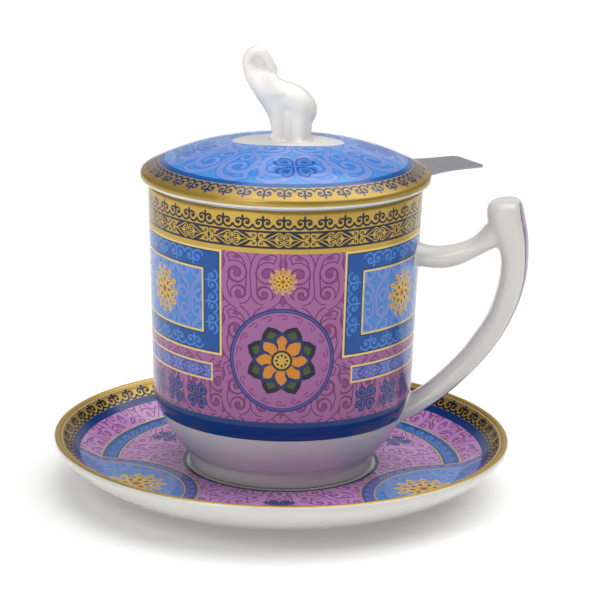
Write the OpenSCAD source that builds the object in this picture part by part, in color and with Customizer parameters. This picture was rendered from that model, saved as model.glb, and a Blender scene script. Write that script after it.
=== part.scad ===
// Lidded tea mug with a steel infuser, standing on its saucer.
// Millimetres, +Z up, origin on the table at the mug's axis, handle along +X.

/* [Saucer] */
// Radius of the saucer's rim
saucer_r = 72.35; // [66:0.05:80]
// Height of the saucer's rim above the table
saucer_h = 17.1; // [15:0.1:20]
// Height of the flat well that the mug stands on
well_z = 7.4; // [6.6:0.1:8]
// Outer radius of the saucer's foot ring
saucer_foot_r = 42; // [39:0.5:45]
// Thickness of the saucer's flank
saucer_wall = 2.8; // [2.4:0.1:3.4]

/* [Mug] */
// Outer radius of the mug at its rim
mug_r = 42.65; // [41.5:0.05:43.5]
// Outer radius where the straight wall starts to curve in
waist_r = 40.71; // [40:0.01:41.3]
// Height of the mug, from foot to rim
mug_h = 91.3; // [88:0.1:96]
// Height above the mug's foot at which the wall starts to curve in
waist_z = 23.4; // [21:0.1:26]
// Outer radius of the mug's foot ring
mug_foot_r = 29.3; // [28:0.1:31]
// Height of the mug's foot ring
mug_foot_h = 5.4; // [4.5:0.1:6.2]
// Thickness of the mug's wall
mug_wall = 2.8; // [2.4:0.1:3]

/* [Handle] */
// Depth of the strap across its free top end
strap_depth_top = 15.4; // [13:0.1:17]
// Depth of the strap where it meets the mug
strap_depth_root = 12.4; // [10:0.1:14]
// Depth of the arm
arm_depth = 9.4; // [8:0.1:11]

/* [Lid] */
// Outer radius of the lid
lid_r = 45.1; // [44.6:0.05:46]
// Rise of the dome above the lid's edge
dome_rise = 9.8; // [8:0.1:12]
// Fullness of the dome: 2 is a parabola, more is flatter on top
dome_power = 2.63; // [2.2:0.01:3]
// Thickness of the lid's shell
lid_wall = 3.2; // [2.8:0.1:3.6]
// Outer radius of the ring that centres the lid in the infuser
lid_ring_r = 35.6; // [34.5:0.1:35.7]
// Depth of that ring below the lid's seat
lid_ring_h = 5; // [3:0.1:8]

/* [Infuser] */
// Thickness of the sheet steel
sheet = 0.5; // [0.4:0.05:0.6]
// Outer radius of the flange that rests on the mug's rim
flange_r = 43.4; // [42.5:0.1:44]
// Outer radius of the basket's wall inside its collar
basket_r = 36.6; // [36.4:0.05:37]
// Outer radius of the basket's wall at its foot
basket_foot_r = 33; // [31:0.1:34.5]
// Depth of the basket below the flange
basket_h = 64; // [58:0.5:66]
// Reach of the lifting tab, from the axis
tab_reach = 68.5; // [60:0.5:72]
// Width of the lifting tab
tab_w = 18; // [14:0.5:20]
// Direction of the lifting tab, turned from the handle
tab_turn = 39.5; // [30:0.5:60]
// Diameter of the perforations
hole_d = 2.4; // [1.6:0.1:2.6]
// Perforations in one row round the wall
wall_holes = 24; // [20:1:30]
// Rows of perforations on the wall
wall_rows = 7; // [6:1:9]
// Rings of perforations on the base
base_rings = 4; // [3:1:4]

/* [Hidden] */
$fn = 96;
arc_steps = 20;          // points on each curved stretch of a profile
porcelain = "#f3f1ec";
lid_blue = "#5b8fd2";
steel = "#a9a9b5";
seat_gap = 0.1;          // the air left between pieces that rest on each other

mug_z = well_z + seat_gap;
rim_z = mug_z + mug_h;
flange_z = rim_z + seat_gap;
lid_z = flange_z + sheet + seat_gap;
basket_z = flange_z + sheet - basket_h;

// ---------- helpers ----------

function mix(a, b, t) = a + (b - a) * t;

function smooth_step(t) = let (u = min(max(t, 0), 1)) u * u * (3 - 2 * u);

// A quarter of a superellipse, from [r0, z1] down to [r1, z0]. Power 1 is a plain ellipse.
function quarter(r0, r1, z0, z1, power, steps) = [
    for (i = [0:steps])
        let (a = 90 * i / steps)
        [r1 + (r0 - r1) * pow(cos(a), power), z1 - (z1 - z0) * pow(sin(a), power)]
];

// Moves an open profile sideways by d, to the left of its direction of travel.
function beside(line, d) = [
    for (i = [0:len(line) - 1])
        let (
            along = line[min(i + 1, len(line) - 1)] - line[max(i - 1, 0)],
            side = [-along.y, along.x] / norm(along)
        )
        line[i] + d * side
];

// Points of a round edge, from angle a0 to angle a1 about a centre.
function round_edge(centre, r, a0, a1, steps = 6) = [
    for (i = [0:steps])
        let (a = mix(a0, a1, i / steps))
        centre + r * [cos(a), sin(a)]
];

// Catmull-Rom interpolation through a list of rows, at t from 0 to len - 1.
function through(rows, t) =
    let (
        n = len(rows) - 1,
        i = min(floor(t), n - 1),
        u = t - i,
        p0 = rows[max(i - 1, 0)],
        p1 = rows[i],
        p2 = rows[i + 1],
        p3 = rows[min(i + 2, n)]
    )
    0.5 * (2 * p1 + (p2 - p0) * u + (2 * p0 - 5 * p1 + 4 * p2 - p3) * u * u
        + (3 * p1 - p0 - 3 * p2 + p3) * u * u * u);

// A closed solid through rings that hold the same number of points.
module loft(rings) {
    n = len(rings[0]);
    last = len(rings) - 1;
    sides = [
        for (i = [0:last - 1], j = [0:n - 1])
            let (k = (j + 1) % n)
            [i * n + j, i * n + k, (i + 1) * n + k, (i + 1) * n + j]
    ];
    first_cap = [for (j = [n - 1:-1:0]) j];
    last_cap = [for (j = [0:n - 1]) last * n + j];
    polyhedron([for (ring = rings) each ring], concat(sides, [first_cap, last_cap]));
}

// ---------- saucer ----------

saucer_lip = 1.1;        // radius of the rolled rim
flank_power = 1.38;      // how much the flank bellies out
flank_z = 0.4;           // where the flank's curve runs into the foot ring
saucer_recess_z = 3.2;   // the ceiling inside the foot ring
saucer_foot_w = 3.2;     // width of the foot ring

module saucer() {
    flank = quarter(saucer_r, saucer_foot_r, flank_z, saucer_h - saucer_lip, flank_power,
        arc_steps);
    inner = [for (p = beside(flank, -saucer_wall)) if (p.y > well_z + 0.3) p];
    lip = round_edge([saucer_r - saucer_lip, saucer_h - saucer_lip], saucer_lip, 0, 150);
    outside = [for (i = [len(flank) - 1:-1:1]) flank[i]];
    well_r = inner[len(inner) - 1].x - 4;
    foot_in = saucer_foot_r - saucer_foot_w;
    color(porcelain)
        rotate_extrude()
            polygon(concat(
                [[0, saucer_recess_z], [foot_in - 1, saucer_recess_z],
                    [foot_in, saucer_recess_z - 1], [foot_in + 0.4, 0.4], [foot_in + 0.8, 0],
                    [saucer_foot_r - 0.5, 0]],
                outside, lip, [for (i = [2:len(inner) - 1]) inner[i]],
                [[well_r, well_z], [0, well_z]]
            ));
}

// ---------- mug ----------

belly_power = 1.58;      // the full curve between wall and foot
belly_r = 28.36;         // where that curve would end under the mug
belly_z = 3.5;
mug_recess_z = 3;        // the ceiling inside the mug's foot ring
mug_foot_w = 3;          // width of the mug's foot ring
foot_edge = 0.6;         // the soft edge of the foot ring

belly = [
    for (p = quarter(waist_r, belly_r, belly_z, waist_z, belly_power, arc_steps))
        if (p.y > mug_foot_h) p
];

module mug_body() {
    inner = beside(belly, -mug_wall);
    floor_z = inner[len(inner) - 1].y;
    foot_in = mug_foot_r - mug_foot_w;
    rim = round_edge([mug_r - mug_wall / 2, mug_h - mug_wall / 2], mug_wall / 2, 0, 180, 10);
    color(porcelain)
        translate([0, 0, mug_z])
            rotate_extrude()
                polygon(concat(
                    [[0, mug_recess_z], [foot_in - 1, mug_recess_z],
                        [foot_in, mug_recess_z - 1], [foot_in, foot_edge],
                        [foot_in + foot_edge, 0], [mug_foot_r - foot_edge, 0],
                        [mug_foot_r, foot_edge], [mug_foot_r, mug_foot_h - 0.8],
                        [mug_foot_r + 0.4, mug_foot_h - 0.2]],
                    [for (i = [len(belly) - 1:-1:0]) belly[i]],
                    rim, inner, [[0, floor_z]]
                ));
}

// The mug's outside as one full solid, which the roots of the handle are cut to.
module mug_blank() {
    translate([0, 0, mug_z])
        rotate_extrude()
            polygon(concat([[0, mug_h - 5], [mug_r, mug_h - 5]], belly, [[0, mug_foot_h]]));
}

// ---------- handle ----------
// In the handle's own plane x is the distance from the mug's axis and z the height above its
// foot. Each row holds the two edges of a section: x and z of the inner or lower edge, then
// x and z of the outer or upper edge.

strap_rows = [           // from inside the wall up to the free top end
    [36.6, 21.8, 37.9, 15.7],
    [41.06, 25.12, 43.4, 19.2],
    [45.48, 28.51, 48.68, 23.06],
    [49.57, 32.34, 53.65, 27.32],
    [53.36, 36.44, 58.33, 31.95],
    [56.92, 40.74, 62.65, 36.87],
    [60.03, 45.35, 66.62, 42.12],
    [62.95, 50.12, 70.04, 47.74],
    [65.28, 55.17, 72.81, 53.69],
    [66.8, 60.47, 74.88, 59.91],
    [67.81, 65.94, 76.04, 66.38],
    [67.8, 71.55, 76.13, 73],
    [66, 76.4, 75.75, 78.3],
    [63.8, 81, 74.85, 83],
    [63, 85, 73.85, 86.8],
    [62.9, 88.8, 73, 89.6]
];
arm_rows = [             // from inside the wall to inside the strap
    [34, 67.3, 34, 74.6],
    [39, 67, 39, 74.4],
    [43.81, 66.68, 43.58, 73.68],
    [47.77, 66.43, 47.1, 73.28],
    [51.74, 66.83, 50.62, 73.64],
    [55.52, 68.02, 54.07, 74.49],
    [59.06, 69.84, 57.34, 75.84],
    [62.46, 71.9, 60.21, 77.88],
    [65.9, 73.88, 62.6, 80.9],
    [70, 76.8, 64.8, 84.4]
];
arm_t = 6.5;             // the arm's thickness at its middle
end_round = 0.62;        // the stretch of rows that the top end's round edge takes
end_shrink = 0.27;       // how much of its section the top end loses there
ring_points = 28;
strap_rings = 30;
arm_rings = 20;

// A ring of the section from inner edge p to outer edge q. Flat makes the outer side flatter.
function section(p, q, depth, flat, shrink = 1) =
    let (
        t = norm(q - p),
        n = (q - p) / t,
        widest = mix(0.5, 0.66, flat),
        base = p + n * t * widest
    ) [
        for (j = [0:ring_points - 1])
            let (
                a = 360 * j / ring_points,
                c = cos(a),
                s = sin(a),
                outer = s > 0,
                sharp = outer ? mix(1, 0.55, flat) : mix(1, 0.86, flat),
                reach = outer ? t * (1 - widest) : t * widest,
                across = sign(s) * pow(abs(s), sharp) * reach * shrink,
                side = sign(c) * pow(abs(c), mix(1, 0.8, flat)) * depth / 2 * shrink,
                m = base + n * across
            )
            [m.x, side, mug_z + m.y]
    ];

function strap_ring(t, shrink = 1) =
    let (
        row = through(strap_rows, t),
        depth = mix(strap_depth_root, strap_depth_top, smooth_step((t - 1) / 12))
    )
    section([row[0], row[1]], [row[2], row[3]], depth, 1, shrink);

module strap() {
    last = len(strap_rows) - 1;
    body_rings = [
        for (i = [0:strap_rings])
            strap_ring((last - end_round) * i / strap_rings)
    ];
    end_rings = [
        for (b = [15:15:90])
            strap_ring(last - end_round * (1 - sin(b)), 1 - end_shrink * (1 - cos(b)))
    ];
    loft(concat(body_rings, end_rings, [strap_ring(last + 0.07, 0.45)]));
}

module arm() {
    last = len(arm_rows) - 1;
    rings = [
        for (i = [0:arm_rings])
            let (
                row = through(arm_rows, last * i / arm_rings),
                lower = [row[0], row[1]],
                upper = [row[2], row[3]]
            )
            section(upper, lower, arm_depth + norm(upper - lower) - arm_t, 0.25)
    ];
    loft(rings);
}

module mug_handle() {
    color(porcelain)
        difference() {
            union() {
                strap();
                arm();
            }
            mug_blank();
        }
}

// ---------- infuser ----------

collar_h = 9;            // height of the plain collar under the flange
bend_r = 1;              // bend between flange and collar
plain_top = 15;          // unpierced stretch at the top of the wall
plain_foot = 6;          // and at its foot
tab_corner = 2.5;        // radius of the tab's corners
tab_flare_from = 60;     // radius at which the tab starts to widen towards the flange
tab_flare = 6.7;

function tab_half(r) = tab_w / 2 + tab_flare * pow(max(tab_flare_from - r, 0) / 20, 1.8);

module tab_outline() {
    tip = [tab_reach - tab_corner, tab_w / 2 - tab_corner];
    side = concat(
        [for (r = [40:2:tab_flare_from]) [r, tab_half(r)]],
        round_edge(tip, tab_corner, 90, 0)
    );
    mirrored = [for (i = [len(side) - 1:-1:0]) [side[i].x, -side[i].y]];
    difference() {
        polygon(concat(side, mirrored));
        circle(r = flange_r - 1);
    }
}

module infuser_rim() {
    top = sheet + flange_z;
    inner_bend = round_edge([basket_r + bend_r + sheet, top - bend_r - sheet], bend_r + sheet,
        90, 180);
    outer_bend = round_edge([basket_r + bend_r + sheet, top - bend_r - sheet], bend_r, 180, 90);
    color(steel)
        union() {
            rotate_extrude()
                polygon(concat(
                    [[flange_r, top]], inner_bend,
                    [[basket_r, top - collar_h], [basket_r + sheet, top - collar_h]],
                    outer_bend, [[flange_r, flange_z]]
                ));
            translate([0, 0, flange_z])
                rotate([0, 0, tab_turn])
                    linear_extrude(sheet)
                        tab_outline();
        }
}

// The basket's wall is straight inside the collar, a cone below it and straight again at its foot.
cone_top = flange_z + sheet - collar_h;
cone_foot = basket_z + 2;
wall_top = flange_z - 2;
lip_r = basket_foot_r - 3.2;   // inner edge of the lip at the wall's foot

module infuser_wall() {
    row_h = (flange_z + sheet - plain_top - basket_z - plain_foot) / (wall_rows - 1);
    bore_foot = basket_foot_r - sheet;
    color(steel)
        difference() {
            rotate_extrude()
                polygon([
                    [lip_r, basket_z], [basket_foot_r - 0.4, basket_z],
                    [basket_foot_r, basket_z + 0.4], [basket_foot_r, cone_foot],
                    [basket_r, cone_top], [basket_r, wall_top],
                    [basket_r - sheet, wall_top], [basket_r - sheet, cone_top],
                    [bore_foot, cone_foot], [bore_foot, basket_z + sheet],
                    [lip_r, basket_z + sheet]
                ]);
            for (row = [0:wall_rows - 1], i = [0:wall_holes - 1])
                rotate([0, 0, (i + row % 2 / 2) * 360 / wall_holes])
                    translate([basket_foot_r - 3, 0, basket_z + plain_foot + row * row_h])
                        rotate([0, 90, 0])
                            cylinder(d = hole_d, h = 10, $fn = 16);
        }
}

// A flat disc that lies on the wall's inturned lip.
module infuser_base() {
    ring_step = 5.6;
    color(steel)
        translate([0, 0, basket_z + sheet])
            difference() {
                cylinder(r = basket_foot_r - sheet, h = sheet);
                for (ring = [0:base_rings], i = [0:max(6 * ring - 1, 0)])
                    rotate([0, 0, i * 360 / max(6 * ring, 1)])
                        translate([ring * ring_step, 0, -1])
                            cylinder(d = hole_d, h = sheet + 2, $fn = 16);
            }
}

// ---------- lid ----------

lid_edge_h = 2.6;        // height of the lid's upright edge
seat_w = 2.9;            // width of the flat seat inside that edge
ring_w = 2.6;            // thickness of the centring ring
dome_steps = 22;

function dome_z(r) = lid_edge_h + dome_rise * (1 - pow(min(r / lid_r, 1), dome_power));

function under_z(r) = dome_z(r) - lid_wall;

// The outside of the lid from its centre to its edge, heights above the lid's seat.
dome = [for (i = [0:dome_steps]) let (r = lid_r * sin(90 * i / dome_steps)) [r, dome_z(r)]];
ring_in = lid_ring_r - ring_w;

// The strip of the lid's underside that the ring is luted to.
ring_top = [for (i = [2:-1:0]) let (r = mix(ring_in, lid_ring_r, i / 2)) [r, under_z(r)]];

module lid_shell() {
    seat_out = lid_r - 0.8;
    seat_in = seat_out - seat_w;
    ceiling = [for (i = [7:-1:0]) let (r = ring_in * i / 8) [r, under_z(r)]];
    gallery = [
        for (i = [0:3])
            let (r = mix(seat_in - 1.2, lid_ring_r + 1, i / 3))
            [r, under_z(r)]
    ];
    color(lid_blue)
        translate([0, 0, lid_z])
            rotate_extrude()
                polygon(concat(
                    dome,
                    [[lid_r, 0.8], [lid_r - 0.25, 0.25], [seat_out, 0], [seat_in, 0]],
                    gallery, ring_top, ceiling
                ));
}

// The ring is formed by itself and luted under the dome, as the finial is on top of it.
module lid_ring() {
    soft = 0.6;
    color(porcelain)
        translate([0, 0, lid_z])
            rotate_extrude()
                polygon(concat(
                    ring_top,
                    [[ring_in, soft - lid_ring_h], [ring_in + soft, -lid_ring_h],
                        [lid_ring_r - soft, -lid_ring_h], [lid_ring_r, soft - lid_ring_h]]
                ));
}

// ---------- finial ----------
// A small standing elephant with its head thrown back and its trunk curled to its forehead.
// It faces along its own -X, and its feet are luted into the dome. Rows give x, height above the
// mug's foot, half the thickness in the plane of symmetry and half the thickness across it.

finial_turn = 10;        // the figure's turn from the handle's line
finial_lift = -92;       // from the mug's foot to the lid's seat
fore = [
    [-2.1, 107.0, 2.5, 3.9],
    [-2.6, 112.2, 3.3, 4.8],
    [-3.7, 116.4, 4.3, 5.3],
    [-6.0, 120.6, 4.7, 5.3],
    [-8.5, 123.1, 4.0, 4.5],
    [-10.5, 125.2, 3.0, 3.6],
    [-12.0, 128.2, 2.0, 2.8],
    [-11.3, 130.6, 1.8, 2.5],
    [-9.3, 131.6, 1.75, 2.4],
    [-7.3, 130.3, 1.7, 2.3],
    [-5.9, 128.1, 1.6, 2.2],
    [-4.8, 126.5, 1.4, 2.0]
];
hind = [
    [4.2, 106.5, 3.4, 4.3],
    [4.3, 110.5, 3.8, 4.9],
    [4.6, 113.4, 4.9, 5.6],
    [3.5, 115.8, 4.6, 5.8],
    [1.4, 117.4, 4.5, 5.6],
    [-1.2, 118.7, 4.0, 5.3],
    [-3.9, 119.9, 3.7, 4.6]
];
curl_middle = [-8.9, 0, 128.5];  // the thin web that closes the trunk's curl
web_r = 2.6;
figure_rings = 16;
figure_points = 16;
foot_z = 102.6;          // the soles, a little under the dome's surface
glaze_z = 104.2;         // the dome's surface round the feet
flare_h = 1.3;           // height of the slip smoothed round each foot

// Rings of an ellipse swept along rows of [x, z, half, half across].
function figure_ring(rows, t) =
    let (
        row = through(rows, t),
        ahead = through(rows, min(t + 0.05, len(rows) - 1)),
        behind = through(rows, max(t - 0.05, 0)),
        way = [ahead[0] - behind[0], ahead[1] - behind[1]],
        n = [way.y, -way.x] / norm(way)
    ) [
        for (j = [0:figure_points - 1])
            let (a = 360 * j / figure_points)
            [row[0] + n.x * row[2] * cos(a), -row[3] * sin(a), row[1] + n.y * row[2] * cos(a)]
    ];

module swept(rows, rings) {
    loft([for (i = [0:rings]) figure_ring(rows, i * (len(rows) - 1) / rings)]);
}

// The fore part runs up from the chest through the head, and on round the trunk's curl.
module fore_part() {
    swept(fore, 2 * figure_rings);
    limb([-4.8, 0, 126.5], 1.6, [-4.4, 0, 125.9], 1.4);
    translate(curl_middle)
        scale([1, 0.4, 1])
            sphere(r = web_r, $fn = 20);
}

// A rounded limb from point p to point q.
module limb(p, r_p, q, r_q) {
    hull() {
        translate(p)
            sphere(r = r_p, $fn = 20);
        translate(q)
            sphere(r = r_q, $fn = 20);
    }
}

// A leg with a small flare of slip where it stands on the dome.
module leg(sole, r_sole, top, r_top) {
    limb(sole, r_sole, top, r_top);
    translate([sole.x, sole.y, glaze_z])
        cylinder(h = flare_h, r1 = r_sole + 0.8, r2 = r_sole, $fn = 24);
}

module legs(side) {
    leg([-2.05, side * 2.1, foot_z], 2.5, [-2.3, side * 1.9, 112.5], 3);
    leg([4.25, side * 1.9, foot_z], 3.4, [4.4, side * 1.7, 112], 3.8);
}

// A flat ear, laid back along the neck.
module ear(side) {
    hull() {
        limb([-7.1, side * 3.9, 124.4], 0.9, [-1.6, side * 4.9, 119.8], 0.8);
        limb([-5.4, side * 4.7, 119.6], 1, [-1.6, side * 4.9, 119.8], 0.8);
    }
}

module lid_finial() {
    below = 40;
    color(porcelain)
        translate([0, 0, lid_z + finial_lift])
            rotate([0, 0, finial_turn])
                difference() {
                    union() {
                        fore_part();
                        swept(hind, figure_rings);
                        legs(1);
                        legs(-1);
                        ear(1);
                        ear(-1);
                    }
                    translate([-below / 2, -below / 2, foot_z - below])
                        cube(below);
                }
}

// ---------- the assembly ----------

saucer();
mug_body();
mug_handle();
infuser_rim();
infuser_wall();
infuser_base();
lid_shell();
lid_ring();
lid_finial();
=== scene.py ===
import math

import bpy
import numpy as np
from mathutils import Matrix, Vector, geometry
from mathutils.bvhtree import BVHTree


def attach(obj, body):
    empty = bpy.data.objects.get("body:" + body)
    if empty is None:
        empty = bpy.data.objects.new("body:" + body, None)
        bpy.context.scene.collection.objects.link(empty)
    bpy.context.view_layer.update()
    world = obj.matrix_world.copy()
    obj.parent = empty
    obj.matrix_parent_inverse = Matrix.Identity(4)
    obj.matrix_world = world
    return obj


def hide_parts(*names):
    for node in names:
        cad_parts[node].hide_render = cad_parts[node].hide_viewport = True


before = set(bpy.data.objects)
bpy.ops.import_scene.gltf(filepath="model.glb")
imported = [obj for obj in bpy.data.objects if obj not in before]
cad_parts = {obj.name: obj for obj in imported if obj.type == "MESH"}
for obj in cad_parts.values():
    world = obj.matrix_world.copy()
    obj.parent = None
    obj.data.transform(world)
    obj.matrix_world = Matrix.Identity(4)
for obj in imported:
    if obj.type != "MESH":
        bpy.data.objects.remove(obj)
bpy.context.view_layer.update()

MM = 0.001

# Heights above the table, in millimetres, as the source of the solids has them.
WELL_Z = 7.4
MUG_Z = 7.5
LID_Z = 99.5
MOTIF_TURN = -80  # degrees from the handle to the middle of the first violet bay


# ---------- colours and materials ----------

def linear(shade):
    """Turns an sRGB hex colour to the linear RGBA that Blender works in."""
    parts = [int(shade[i:i + 2], 16) / 255 for i in (1, 3, 5)]
    return [c / 12.92 if c <= 0.04045 else ((c + 0.055) / 1.055) ** 2.4 for c in parts] + [1]


def add(tree, kind, sockets=None, **settings):
    """Adds a shader node with its settings and the values or links of its sockets."""
    made = tree.nodes.new("ShaderNode" + kind)
    for name, value in settings.items():
        setattr(made, name, value)
    for key, value in (sockets or {}).items():
        if isinstance(value, bpy.types.NodeSocket):
            tree.links.new(value, made.inputs[key])
        else:
            made.inputs[key].default_value = value
    return made


def finish(name, shade, other, grain_mm, roughness, metallic=0.0, gloss=0.5, coat=0.0,
           bump_mm=0.0, wave_mm=6.0, spread=0.04, stretch=(1, 1, 1), glow=0.0):
    """One fired or rolled finish: two near shades in a grain of its own size, a roughness that
    wavers by spread, and a bump bump_mm high over waves wave_mm wide. Glow lights it evenly from
    behind, as a light table does."""
    made = bpy.data.materials.new(name)
    made.use_nodes = True
    tree = made.node_tree
    tree.nodes.clear()
    place = add(tree, "TexCoord").outputs["Object"]
    if stretch != (1, 1, 1):
        place = add(tree, "Mapping", {"Vector": place, "Scale": stretch}).outputs[0]
    grain = add(tree, "TexNoise",
                {"Vector": place, "Scale": 1 / (grain_mm * MM), "Detail": 3.0, "Roughness": 0.55})
    mixed = add(tree, "Mix",
                {0: grain.outputs["Fac"], 6: linear(shade), 7: linear(other)}, data_type="RGBA")
    waver = add(tree, "MapRange",
                {"Value": grain.outputs["Fac"], "From Min": 0.3, "From Max": 0.7,
                 "To Min": roughness - spread, "To Max": roughness + spread})
    sockets = {"Base Color": mixed.outputs[2], "Roughness": waver.outputs[0],
               "Metallic": metallic, "IOR": 1.5, "Specular IOR Level": gloss,
               "Coat Weight": coat, "Coat Roughness": 0.1,
               "Emission Color": linear("#ffffff"), "Emission Strength": glow}
    if bump_mm:
        waves = add(tree, "TexNoise",
                    {"Vector": place, "Scale": 1 / (wave_mm * MM), "Detail": 1.0})
        sockets["Normal"] = add(tree, "Bump",
                                {"Strength": 1.0, "Distance": bump_mm * MM,
                                 "Height": waves.outputs["Fac"]}).outputs[0]
    shader = add(tree, "BsdfPrincipled", sockets)
    add(tree, "OutputMaterial", {"Surface": shader.outputs[0]})
    return made


# Hard porcelain under a clear fired glaze: warm white, mirror-smooth, with the faint
# unevenness that glaze has where it ran before it froze.
porcelain = finish("glazed_porcelain", "#dfddd7", "#d9d7d0", grain_mm=9, roughness=0.15,
                   coat=0.35, bump_mm=0.006, wave_mm=11, spread=0.02)
# Colours printed as transfers and fired into the glaze: each keeps the gloss of the glaze over
# it and a fine mottle from the printing screen.
PRINT = dict(grain_mm=1.1, roughness=0.18, gloss=0.3, coat=0.12, bump_mm=0.003, wave_mm=5,
             spread=0.04)
GOLD = dict(grain_mm=7, roughness=0.34, metallic=0.5, coat=0.12, bump_mm=0.002, wave_mm=9,
            spread=0.03)
inks = {
    "gold": finish("burnished_gold_lustre", "#c4a246", "#bd9b40", **GOLD),
    # The lid's gold is the mug's gold painted darker: painted shade that tones down the window
    # softbox's bright reflection on the lid.
    "lid_gold": finish("burnished_gold_painted_darker_on_the_lid", "#b09242", "#a88a3c", **GOLD),
    "pale_gold": finish("pale_gold_line", "#e3cb80", "#dcc174", **GOLD),
}
for ink, enamel, shade, other in (
        ("amber", "amber", "#dc8f2c", "#cf7f22"),
        ("yellow", "yellow_gold", "#e2ba46", "#d9ae3c"),
        ("rust", "rust_brown", "#7d3a12", "#6b2c10"),
        ("navy", "navy", "#1a3468", "#152c5c"),
        ("night", "night_blue", "#1d2539", "#171e30"),
        ("ink", "blue_black", "#161c33", "#0f1428"),
        ("cobalt", "cobalt", "#053a84", "#033274"),
        ("frame_blue", "panel_blue", "#0e54a4", "#0b4b96"),
        ("frame_light", "light_panel_blue", "#4a8ad6", "#3c7ccb"),
        ("sky", "sky_blue", "#4d90d4", "#4486cd"),
        ("sky_deep", "deep_sky_blue", "#3b7fd0", "#3376c8"),
        ("lavender", "lavender", "#7892d2", "#6f88ca"),
        ("violet", "violet", "#a6699f", "#9e6096"),
        ("mauve", "mauve", "#8b4580", "#813d76"),
        ("plum", "plum", "#742f66", "#6a285c"),
        ("rose", "rose_violet", "#cc96d2", "#c38cc9"),
        ("rose_deep", "deep_rose_violet", "#ab6db0", "#a163a6"),
        ("iris", "iris_blue", "#5a54a8", "#4d479c"),
        ("leaf", "dark_green", "#4f5a2c", "#434e26")):
    inks[ink] = finish(enamel + "_enamel", shade, other, **PRINT)
# Cold-rolled stainless sheet with a satin finish: grey, with fine lines along the rolling.
steel = finish("satin_stainless_steel", "#acacb2", "#a1a1a7", grain_mm=0.5, roughness=0.47,
               metallic=0.9, bump_mm=0.0015, wave_mm=0.4, spread=0.05, stretch=(0.12, 1, 1))
# The basket is thinner perforated sheet, darker from its pickling and rolled into a sleeve, so
# its fine lines run round it.
basket_steel = finish("perforated_stainless_sheet", "#9a9aa0", "#909096", grain_mm=0.6,
                      roughness=0.34, metallic=1.0, bump_mm=0.002, wave_mm=0.5, spread=0.06,
                      stretch=(1, 1, 0.12))


# ---------- meshes ----------

def mesh_object(name, points, faces, materials, faces_material=None, normals=None, sharp=None):
    """Makes an object from points in millimetres."""
    data = bpy.data.meshes.new(name)
    data.from_pydata((np.asarray(points, float) * MM).tolist(), [], np.asarray(faces).tolist()
                     if isinstance(faces, np.ndarray) else faces)
    for material in materials:
        data.materials.append(material)
    if faces_material is not None:
        data.polygons.foreach_set("material_index", np.asarray(faces_material, np.int32))
    data.polygons.foreach_set("use_smooth", [True] * len(data.polygons))
    if sharp is not None:
        data.set_sharp_from_angle(angle=math.radians(sharp))
    if normals is not None:
        data.normals_split_custom_set_from_vertices(normals.tolist())
    made = bpy.data.objects.new(name, data)
    bpy.context.scene.collection.objects.link(made)
    return made


def put(piece, body, slot, *nodes):
    """Puts a piece on its body and hides the nodes it stands for. Its finish's slot is not used."""
    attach(piece, body)
    if nodes:
        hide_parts(*nodes)


def circle(r, points, x=0.0, y=0.0):
    """Points round a circle, counter-clockwise from +X."""
    turns = [2 * math.pi * k / points for k in range(points)]
    return [(x + r * math.cos(a), y + r * math.sin(a)) for a in turns]


def lathe(name, profile, segments=256):
    """Turns a closed profile of (radius, height) round the axis, in porcelain."""
    points, rings, faces = [], [], []
    for r, z in profile:
        ring = [(0, 0)] if r < 1e-6 else circle(r, segments)
        rings.append(range(len(points), len(points) + len(ring)))
        points += [(x, y, z) for x, y in ring]
    if len(rings[0]) > 1:
        rings.append(rings[0])
    for low, high in zip(rings, rings[1:]):
        for k in range(segments):
            corners = [ring[j % len(ring)]
                       for ring, j in ((low, k), (low, k + 1), (high, k + 1), (high, k))]
            face = tuple(dict.fromkeys(corners))  # a ring on the axis is one point
            if len(face) > 2:
                faces.append(face)
    return mesh_object(name, points, faces, [porcelain], sharp=38)


def mix(a, b, t):
    return a + (b - a) * t


def smooth_step(t):
    t = min(max(t, 0), 1)
    return t * t * (3 - 2 * t)


def quarter(r0, r1, z0, z1, power, steps=64):
    """A quarter of a superellipse, from [r0, z1] down to [r1, z0]."""
    turns = [math.pi / 2 * i / steps for i in range(steps + 1)]
    return np.array([[r1 + (r0 - r1) * max(math.cos(a), 0) ** power,
                      z1 - (z1 - z0) * math.sin(a) ** power] for a in turns])


def unit_rows(rows):
    """The rows, each scaled to length 1."""
    return rows / np.maximum(np.linalg.norm(rows, axis=1), 1e-9)[:, None]


def directions(line):
    """The unit direction of travel at each point of an open line."""
    return unit_rows(np.vstack([line[1:2] - line[:1], line[2:] - line[:-2], line[-1:] - line[-2:-1]]))


def beside(line, d):
    """Moves an open profile sideways by d, to the left of its direction of travel."""
    along = directions(line)
    return line + d * np.stack([-along[:, 1], along[:, 0]], 1)


def spiral(x, y, r0, r1, start, sweep, points):
    """A spiral round (x, y) from radius r0 at angle start, over sweep degrees, to radius r1."""
    out = []
    for t in [i / points for i in range(points + 1)]:
        a, r = math.radians(start + sweep * t), mix(r0, r1, t ** 0.8)
        out.append((x + r * math.cos(a), y + r * math.sin(a)))
    return out


def round_edge(centre, r, a0, a1, steps=8):
    """An arc from a0 to a1 degrees."""
    return spiral(*centre, r, r, a0, a1 - a0, steps)


def bend(start, corner, end, steps):
    """A curve from start to end, drawn towards the corner."""
    start, corner, end = (np.array(p, float) for p in (start, corner, end))
    return [(1 - t) ** 2 * start + 2 * t * (1 - t) * corner + t * t * end
            for t in np.arange(steps + 1) / steps]


SHARP_TURN, LEAST_ROUND = 25, 0.04  # degrees and millimetres under which a corner stays as it is


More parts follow.
